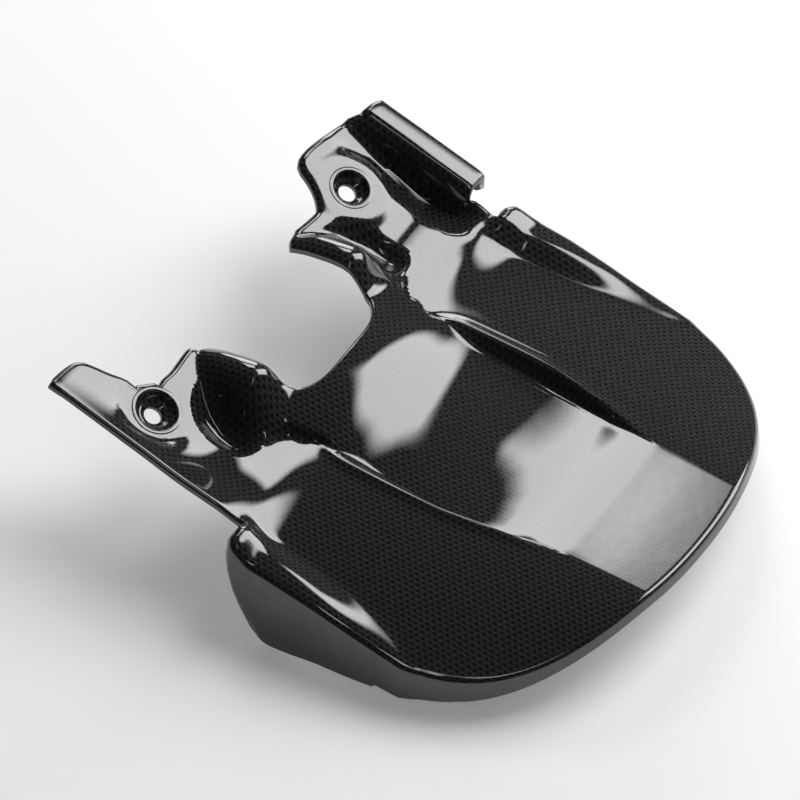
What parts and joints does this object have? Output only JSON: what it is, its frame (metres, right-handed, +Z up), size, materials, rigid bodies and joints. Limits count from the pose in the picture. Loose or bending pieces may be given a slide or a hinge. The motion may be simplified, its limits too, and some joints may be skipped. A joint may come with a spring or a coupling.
{
  "type": "motorcycle rear fender",
  "caption": "Woven-carbon rear hugger for a motorcycle: a domed tyre cover with side walls, a shock cut-out between bolt-on arms and a rolled hose clip.",
  "frame": {"origin": "middle of the fender's bounding box in plan, on the plane that the lower edges of the side walls rest on", "axes": "+X towards the tail, +Y to the right of the motorcycle, +Z up"},
  "size_m": [0.2738, 0.2432, 0.0751],
  "materials": {
    "carbon_laminate": "black plain-woven carbon fibre under a deep clear gloss coat"
  },
  "bodies": {
    "root": {"fender_shell": "carbon_laminate"}
  },
  "joints": []
}
